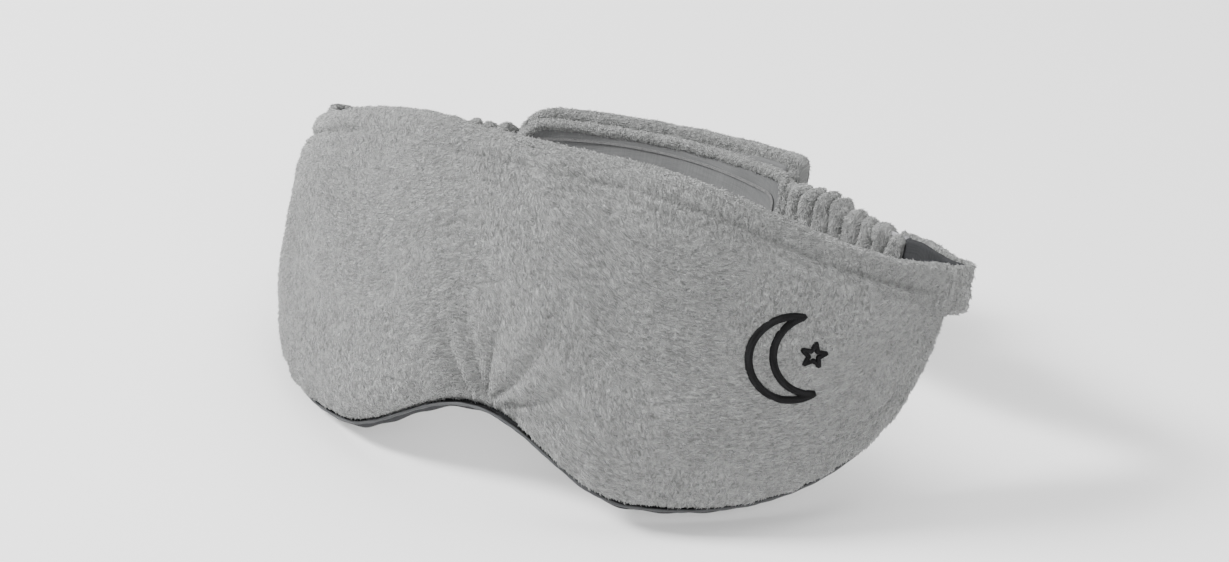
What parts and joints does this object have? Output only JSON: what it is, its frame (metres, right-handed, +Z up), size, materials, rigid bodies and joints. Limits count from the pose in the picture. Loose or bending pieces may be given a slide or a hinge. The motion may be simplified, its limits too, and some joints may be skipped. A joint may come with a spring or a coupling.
{
  "type": "sleep eye mask",
  "caption": "Padded plush sleep mask bowed round the face, with a nose notch, a crescent motif and a gathered strap closed by overlapping hook-and-loop flaps.",
  "frame": {"origin": "on the ground, under the middle of the mask's box", "axes": "+X to the viewer's right along the mask, +Y backwards from the plush front to the strap, +Z up"},
  "size_m": [0.1794, 0.1221, 0.0812],
  "materials": {
    "plush": "short directional pile, soft sheen",
    "charcoal_satin": "smooth satin weave, low sheen",
    "grey_satin": "smooth brushed satin, matt",
    "wadding": "polyester fibre",
    "blackout_cloth": "dense plain weave",
    "black_thread": "satin stitch",
    "grey_thread": "sewing thread",
    "elastic_band": "ribbed woven elastic",
    "hook_tape": "moulded hooks",
    "loop_tape": "brushed loops"
  },
  "bodies": {
    "mask": {"front_panel": "plush", "lining_panel": "charcoal_satin", "wadding_pad": "wadding", "blackout_layer": "blackout_cloth", "moon_embroidery": "black_thread", "star_embroidery": "black_thread"},
    "left_strap": {"left_ear_cover": "plush", "left_ear_lining": "charcoal_satin", "left_sleeve": "plush", "left_elastic": "elastic_band", "left_bar_tack": "grey_thread"},
    "outer_flap": {"outer_flap_cover": "plush", "outer_flap_facing": "grey_satin", "hook_patch": "hook_tape", "outer_flap_stitching": "grey_thread"},
    "right_strap": {"right_ear_cover": "plush", "right_ear_lining": "charcoal_satin", "right_sleeve": "plush", "right_elastic": "elastic_band", "right_bar_tack": "grey_thread"},
    "inner_flap": {"inner_flap_cover": "plush", "inner_flap_lining": "grey_satin", "loop_patch": "loop_tape", "inner_flap_stitching": "grey_thread"}
  },
  "joints": [
    {"name": "left_strap_swing", "type": "hinge", "parent": "mask", "child": "left_strap", "pos_m": [-0.088, 0.0157, 0.04111], "axis": [0, 0, 1], "range_deg": [0, 100]},
    {"name": "flap_peel", "type": "hinge", "parent": "left_strap", "child": "outer_flap", "pos_m": [-0.0534, 0.03598, 0.0284], "axis": [0, 0, 1], "range_deg": [0, 100], "deforming": ["left_sleeve", "left_elastic"]},
    {"name": "right_strap_swing", "type": "hinge", "parent": "mask", "child": "right_strap", "pos_m": [0.088, 0.0157, 0.04111], "axis": [0, 0, 1], "range_deg": [-30, 0]},
    {"name": "closure_adjust", "type": "hinge", "parent": "right_strap", "child": "inner_flap", "pos_m": [0, -0.04089, 0.05638], "axis": [0, 0.342, 0.9397], "range_deg": [-8, 2], "deforming": ["right_sleeve", "right_elastic"]}
  ],
  "couplings": [
    {"joint": "right_strap_swing", "follows": "left_strap_swing", "ratio": -0.3}
  ]
}
